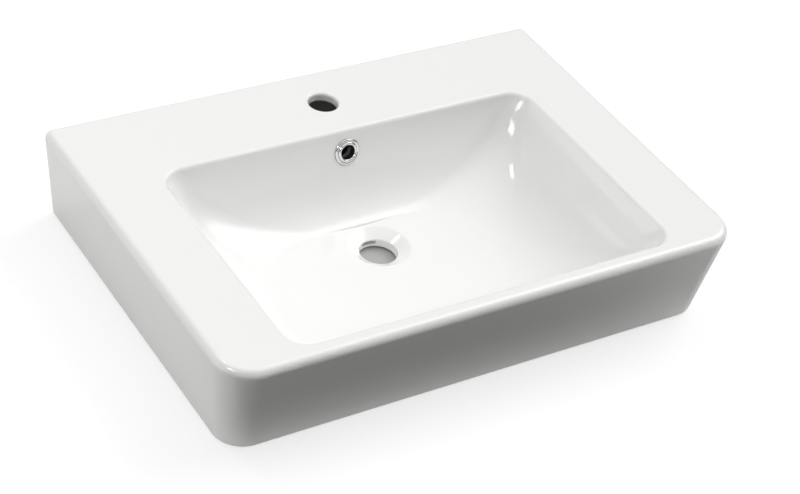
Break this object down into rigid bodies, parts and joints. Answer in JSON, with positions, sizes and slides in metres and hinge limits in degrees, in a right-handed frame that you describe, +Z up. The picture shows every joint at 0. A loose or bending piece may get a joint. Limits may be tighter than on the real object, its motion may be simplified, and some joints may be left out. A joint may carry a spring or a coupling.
{
  "type": "countertop basin",
  "caption": "Rectangular white ceramic washbasin with a wide tap deck, a rectangular bowl, a lined overflow hole and a dished waste hole, flat at the back to stand against a wall.",
  "frame": {"origin": "middle of the footprint on the plane the foot rim stands on", "axes": "+X along the length, +Y out of the flat back towards the wall, +Z up out of the deck"},
  "size_m": [0.6498, 0.4499, 0.12],
  "materials": {
    "glaze": "gloss",
    "chrome_trim": "mirror",
    "sleeve_plastic": "matte",
    "seal_rubber": "matte"
  },
  "bodies": {
    "root": {"basin_body": "glaze", "overflow_bezel": "chrome_trim", "overflow_sleeve": "sleeve_plastic", "overflow_seal": "seal_rubber"}
  },
  "joints": []
}
